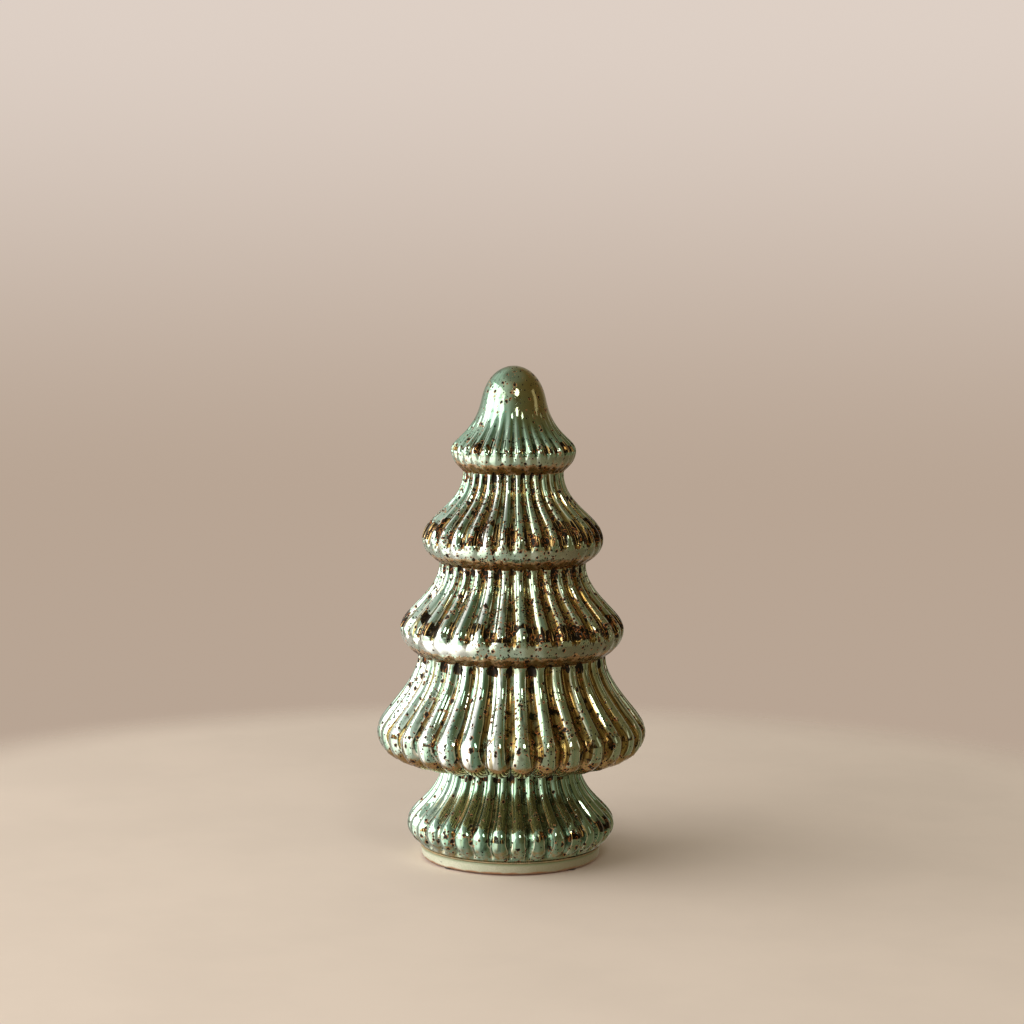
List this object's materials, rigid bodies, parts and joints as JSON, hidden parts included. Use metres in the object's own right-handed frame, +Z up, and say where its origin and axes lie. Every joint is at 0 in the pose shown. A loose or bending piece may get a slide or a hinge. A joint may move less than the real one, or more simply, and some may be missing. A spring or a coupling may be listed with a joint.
{
  "type": "glass christmas tree",
  "caption": "Table decoration in the form of a tiered tree: a ribbed hollow body of silvered green glass with a domed top, cemented to a low pale foot ring.",
  "frame": {"origin": "on the table, under the middle of the tree, at the pads' undersides", "axes": "+Z up along the tree's axis, -Y towards the viewer"},
  "size_m": [0.1364, 0.1364, 0.25],
  "materials": {
    "silvered_glass": "mirror-bright silvered green glass with brown and black ageing specks",
    "cement": "matt tan cement",
    "pale_glaze": "eggshell pale green glaze with fine grain and a brown lower edge",
    "card": "plain brown board",
    "soft_rubber": "matt pale grey",
    "felt": "dark brown felt"
  },
  "bodies": {
    "root": {"glass_tree": "silvered_glass", "cement_bead": "cement", "foot_ring": "pale_glaze", "base_disc": "card", "stopper": "soft_rubber", "pad_1": "felt", "pad_2": "felt", "pad_3": "felt", "pad_4": "felt"}
  },
  "joints": []
}
